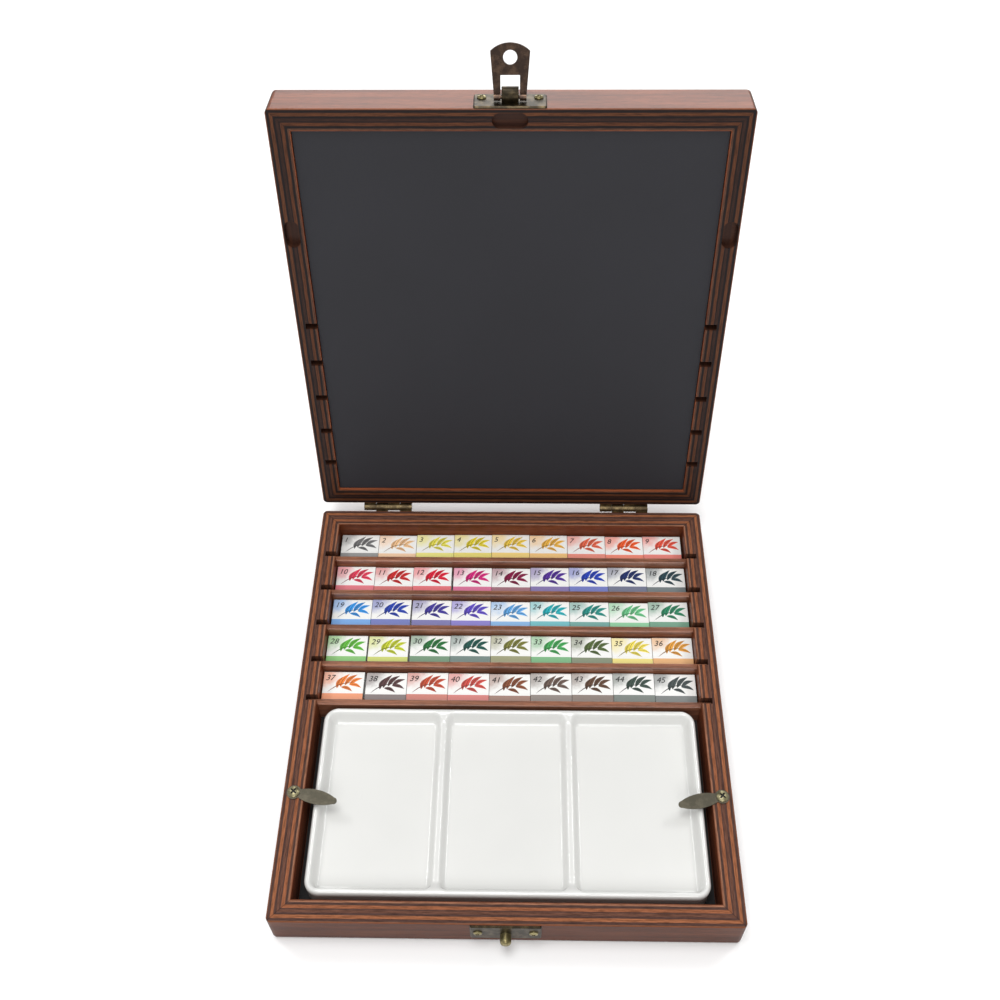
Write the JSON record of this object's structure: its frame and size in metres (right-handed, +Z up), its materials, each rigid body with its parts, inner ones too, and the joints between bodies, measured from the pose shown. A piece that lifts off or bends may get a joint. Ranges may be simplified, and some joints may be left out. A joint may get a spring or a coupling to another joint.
{
  "type": "wooden watercolour box",
  "caption": "Shallow hinged wooden box that holds rows of wrapped half pans between slotted dividers and a three-well ceramic palette under turn buttons, shut by a hasp.",
  "frame": {"origin": "centre of the base's flat underside", "axes": "+Z up, +Y from the front with the catch to the rear with the hinges, +X to the right seen from the front; the lid stands open"},
  "size_m": [0.2, 0.2777, 0.2599],
  "materials": {
    "stained_plywood": "satin",
    "divider_wood": "satin",
    "black_lining": "matte",
    "slate_lining": "matte",
    "foam": "matte",
    "white_glaze": "gloss",
    "antique_brass": "satin",
    "screw_brass": "satin",
    "label_paper": "satin",
    "pan_plastic": "gloss",
    "paint_row_1": "satin",
    "paint_row_2": "satin",
    "paint_row_3": "satin",
    "paint_row_4": "satin",
    "paint_row_5": "satin"
  },
  "bodies": {
    "base": {"base_wall_front": "stained_plywood", "base_wall_back": "stained_plywood", "base_wall_left": "stained_plywood", "base_wall_right": "stained_plywood", "base_floor_panel": "stained_plywood", "divider_1": "divider_wood", "divider_2": "divider_wood", "divider_3": "divider_wood", "divider_4": "divider_wood", "divider_5": "divider_wood", "base_floor_lining": "black_lining", "palette": "white_glaze", "catch_plate": "antique_brass", "catch_knob": "antique_brass", "left_hinge_base_leaf": "antique_brass", "left_hinge_pin": "antique_brass", "right_hinge_base_leaf": "antique_brass", "right_hinge_pin": "antique_brass", "turn_button_screws": "screw_brass", "catch_screws": "screw_brass", "hinge_screws_base": "screw_brass", "pan_wrappers_row_1": "label_paper", "pan_tubs_row_1": "pan_plastic", "paint_cakes_row_1": "paint_row_1", "pan_wrappers_row_2": "label_paper", "pan_tubs_row_2": "pan_plastic", "paint_cakes_row_2": "paint_row_2", "pan_wrappers_row_3": "label_paper", "pan_tubs_row_3": "pan_plastic", "paint_cakes_row_3": "paint_row_3", "pan_wrappers_row_4": "label_paper", "pan_tubs_row_4": "pan_plastic", "paint_cakes_row_4": "paint_row_4", "pan_wrappers_row_5": "label_paper", "pan_tubs_row_5": "pan_plastic", "paint_cakes_row_5": "paint_row_5"},
    "lid": {"lid_wall_front": "stained_plywood", "lid_wall_back": "stained_plywood", "lid_wall_left": "stained_plywood", "lid_wall_right": "stained_plywood", "lid_top_panel": "stained_plywood", "lid_foam_pad": "foam", "lid_lining_card": "slate_lining", "latch_plate": "antique_brass", "latch_screws": "screw_brass", "hasp_pin": "antique_brass", "left_hinge_lid_leaf": "antique_brass", "right_hinge_lid_leaf": "antique_brass", "hinge_screws_lid": "screw_brass"},
    "hasp": {"hasp": "antique_brass"},
    "left_button": {"left_turn_button": "antique_brass"},
    "right_button": {"right_turn_button": "antique_brass"}
  },
  "joints": [
    {"name": "lid_hinge", "type": "hinge", "parent": "base", "child": "lid", "pos_m": [0, 0.1114, 0.0204], "axis": [1, 0, 0], "range_deg": [0, 98.3]},
    {"name": "hasp_pivot", "type": "hinge", "parent": "lid", "child": "hasp", "pos_m": [0, 0.14895, 0.24038], "axis": [1, 0, 0], "range_deg": [-70, 100]},
    {"name": "left_button_turn", "type": "hinge", "parent": "base", "child": "left_button", "pos_m": [-0.0952, -0.0517, 0.0204], "axis": [0, 0, 1], "continuous": true},
    {"name": "right_button_turn", "type": "hinge", "parent": "base", "child": "right_button", "pos_m": [0.0952, -0.0517, 0.0204], "axis": [0, 0, 1], "continuous": true}
  ]
}
